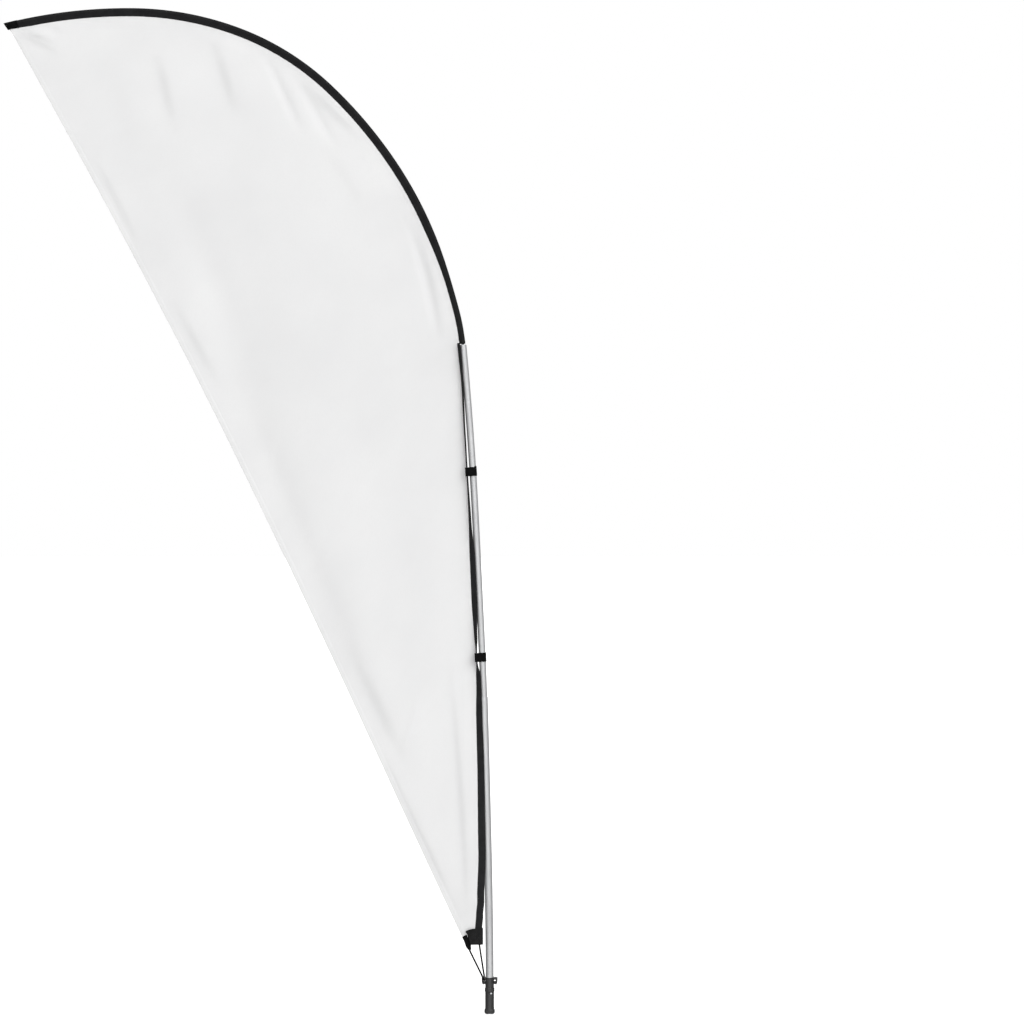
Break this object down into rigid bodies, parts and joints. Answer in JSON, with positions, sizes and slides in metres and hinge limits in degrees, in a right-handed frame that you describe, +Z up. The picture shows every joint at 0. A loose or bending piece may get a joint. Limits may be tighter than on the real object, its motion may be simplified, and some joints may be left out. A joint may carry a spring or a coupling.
{
  "type": "teardrop flag",
  "caption": "Free-turning teardrop flag: tube mast with a sprung bow in a sewn pocket, blank sail, peel-open straps and an elastic tensioning cord on a hooked foot.",
  "frame": {"origin": "on the turning axis, at the bottom face of the rotator, where the ground spindle enters", "axes": "+Z up along the turning axis; the sail lies in the XZ plane on the -X side of the mast; -Y is the side that the picture shows"},
  "size_m": [1.3806, 0.0468, 2.8144],
  "materials": {
    "aluminium": "satin anodised",
    "fibreglass": "ground fibreglass rod",
    "black_plastic": "moulded nylon, fine grain",
    "bush_plastic": "natural acetal",
    "steel": "zinc plated",
    "sail_cloth": "white knitted polyester",
    "black_cloth": "black woven pocket cloth",
    "tape_cloth": "black woven tape",
    "webbing": "black ribbed webbing",
    "strap_webbing": "black hook-and-loop strap",
    "elastic": "braided shock cord"
  },
  "bodies": {
    "rotator": {"rotator_core": "steel", "retaining_ring": "steel"},
    "mast": {"foot_sleeve": "black_plastic", "hook_collar": "black_plastic", "sleeve_rivet": "aluminium", "lower_bush": "bush_plastic", "upper_bush": "bush_plastic", "lower_tube": "aluminium", "upper_tube": "aluminium", "rod_seat": "black_plastic", "bow_rod_lower": "fibreglass", "bow_ferrule": "steel", "bow_rod_upper": "fibreglass", "bow_tip_cap": "black_plastic", "bow_pocket": "black_cloth", "tip_patch": "webbing", "sail_panel": "sail_cloth", "luff_tape": "tape_cloth", "corner_band": "webbing", "corner_tab": "webbing", "tension_cord": "elastic", "cord_knot": "elastic", "strap_lower_band": "strap_webbing", "strap_upper_band": "strap_webbing"},
    "lower_flap": {"strap_lower_flap": "strap_webbing"},
    "upper_flap": {"strap_upper_flap": "strap_webbing"}
  },
  "joints": [
    {"name": "mast_turn", "type": "hinge", "parent": "rotator", "child": "mast", "pos_m": [0, 0, 0], "axis": [0, 0, 1], "continuous": true},
    {"name": "strap_lower_peel", "type": "hinge", "parent": "mast", "child": "lower_flap", "pos_m": [-0.01117, -0.0067, 0.99817], "axis": [-0.0471, 0, 0.9989], "range_deg": [0, 150]},
    {"name": "strap_upper_peel", "type": "hinge", "parent": "mast", "child": "upper_flap", "pos_m": [-0.03763, -0.0067, 1.51763], "axis": [-0.0623, 0, 0.9981], "range_deg": [0, 150]}
  ]
}
